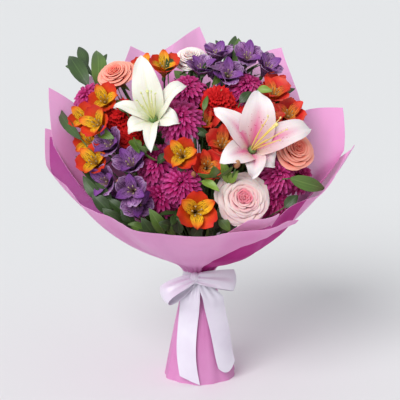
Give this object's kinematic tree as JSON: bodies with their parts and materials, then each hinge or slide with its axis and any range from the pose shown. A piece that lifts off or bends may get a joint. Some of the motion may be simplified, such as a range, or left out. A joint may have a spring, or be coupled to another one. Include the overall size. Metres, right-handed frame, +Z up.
{
  "type": "flower bouquet",
  "caption": "Round hand-tied bouquet of mixed flowers and leaves in flared paper sheets, tied at the waist with a ribbon bow, standing on its cut stems and paper foot.",
  "frame": {"origin": "on the table, on the bundle's axis, where the central stem's cut end stands", "axes": "+Z up along the bundle, -Y toward the viewer, +X to the viewer's right"},
  "size_m": [0.4481, 0.3389, 0.5204],
  "materials": {
    "stem": "matte",
    "leaf": "satin",
    "petal_lily_white": "matte",
    "petal_lily_pink": "matte",
    "petal_rose_garden": "matte",
    "petal_rose_peach": "matte",
    "petal_rose_blush": "matte",
    "petal_chrysanthemum": "matte",
    "petal_carnation": "matte",
    "petal_alstroemeria_orange": "matte",
    "petal_alstroemeria_red": "matte",
    "petal_alstroemeria_purple": "matte",
    "paper": "satin",
    "ribbon": "satin",
    "twine": "matte"
  },
  "bodies": {
    "root": {"alstroemeria_orange_front": "petal_alstroemeria_orange", "alstroemeria_orange_left": "petal_alstroemeria_orange", "alstroemeria_orange_top": "petal_alstroemeria_orange", "alstroemeria_purple_left": "petal_alstroemeria_purple", "alstroemeria_purple_low": "petal_alstroemeria_purple", "alstroemeria_purple_top": "petal_alstroemeria_purple", "alstroemeria_red_centre": "petal_alstroemeria_red", "alstroemeria_red_right": "petal_alstroemeria_red", "carnation_spray_left": "stem", "carnation_spray_left_head_1": "petal_carnation", "carnation_spray_left_head_2": "petal_carnation", "carnation_spray_top": "stem", "carnation_spray_top_head_1": "petal_carnation", "carnation_spray_top_head_2": "petal_carnation", "chrysanthemum_spray_front": "stem", "chrysanthemum_spray_front_head_1": "petal_chrysanthemum", "chrysanthemum_spray_front_head_2": "petal_chrysanthemum", "chrysanthemum_spray_front_head_3": "petal_chrysanthemum", "chrysanthemum_spray_left": "stem", "chrysanthemum_spray_left_head_1": "petal_chrysanthemum", "chrysanthemum_spray_low": "stem", "chrysanthemum_spray_low_head_1": "petal_chrysanthemum", "chrysanthemum_spray_low_head_2": "petal_chrysanthemum", "chrysanthemum_spray_right": "stem", "chrysanthemum_spray_right_head_1": "petal_chrysanthemum", "chrysanthemum_spray_right_head_2": "petal_chrysanthemum", "chrysanthemum_spray_top": "stem", "chrysanthemum_spray_top_head_1": "petal_chrysanthemum", "chrysanthemum_spray_top_head_2": "petal_chrysanthemum", "chrysanthemum_spray_top_head_3": "petal_chrysanthemum", "foliage_centre": "leaf", "foliage_front": "leaf", "foliage_left": "leaf", "foliage_middle": "leaf", "foliage_right": "leaf", "foliage_top": "leaf", "foliage_top_left": "leaf", "lily_pink": "petal_lily_pink", "lily_pink_stem": "stem", "lily_white": "petal_lily_white", "lily_white_stem": "stem", "ribbon": "ribbon", "rose_blush": "petal_rose_blush", "rose_blush_stem": "stem", "rose_garden": "petal_rose_garden", "rose_garden_stem": "stem", "rose_peach_left": "petal_rose_peach", "rose_peach_left_stem": "stem", "rose_peach_right": "petal_rose_peach", "rose_peach_right_stem": "stem", "tie": "twine", "wrap_back": "paper", "wrap_back_left": "paper", "wrap_back_right": "paper", "wrap_foot": "paper", "wrap_front_left": "paper", "wrap_front_right": "paper", "wrap_left": "paper", "wrap_right": "paper"}
  },
  "joints": []
}
